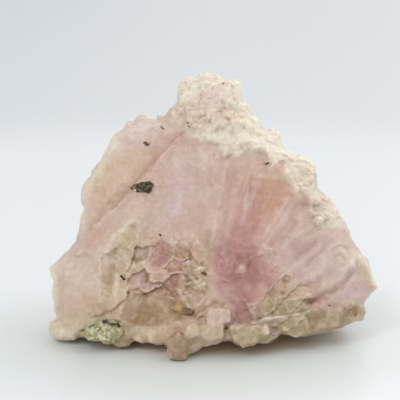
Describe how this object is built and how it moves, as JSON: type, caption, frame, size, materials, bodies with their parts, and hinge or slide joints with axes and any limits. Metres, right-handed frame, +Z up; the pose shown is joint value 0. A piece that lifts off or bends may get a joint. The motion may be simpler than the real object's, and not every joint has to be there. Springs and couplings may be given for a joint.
{
  "type": "rose quartz specimen",
  "caption": "Free-standing hand specimen of pale pink quartz with a broken front, a crystal crust and small dark and green mineral inclusions.",
  "frame": {"origin": "middle of the specimen's box at the height of the surface it stands on", "axes": "+Z up, +X to the right along its width, -Y the way the broken pink face looks"},
  "size_m": [0.0828, 0.048, 0.0649],
  "materials": {
    "rose_quartz": "translucent, glassy on broken faces and sugary on the crust",
    "dark_mineral": "dark and glassy",
    "brown_quartz": "amber brown, glassy",
    "green_grains": "sugary, dull"
  },
  "bodies": {
    "root": {"rose_quartz": "rose_quartz", "dark_crystal": "dark_mineral", "brown_crystal": "brown_quartz", "green_grains": "green_grains", "dark_grain_1": "dark_mineral", "dark_grain_2": "dark_mineral", "dark_grain_3": "dark_mineral", "dark_grain_4": "dark_mineral", "dark_grain_5": "dark_mineral", "dark_grain_6": "dark_mineral", "dark_grain_7": "dark_mineral", "dark_grain_8": "dark_mineral", "dark_grain_9": "dark_mineral", "dark_grain_10": "dark_mineral"}
  },
  "joints": []
}
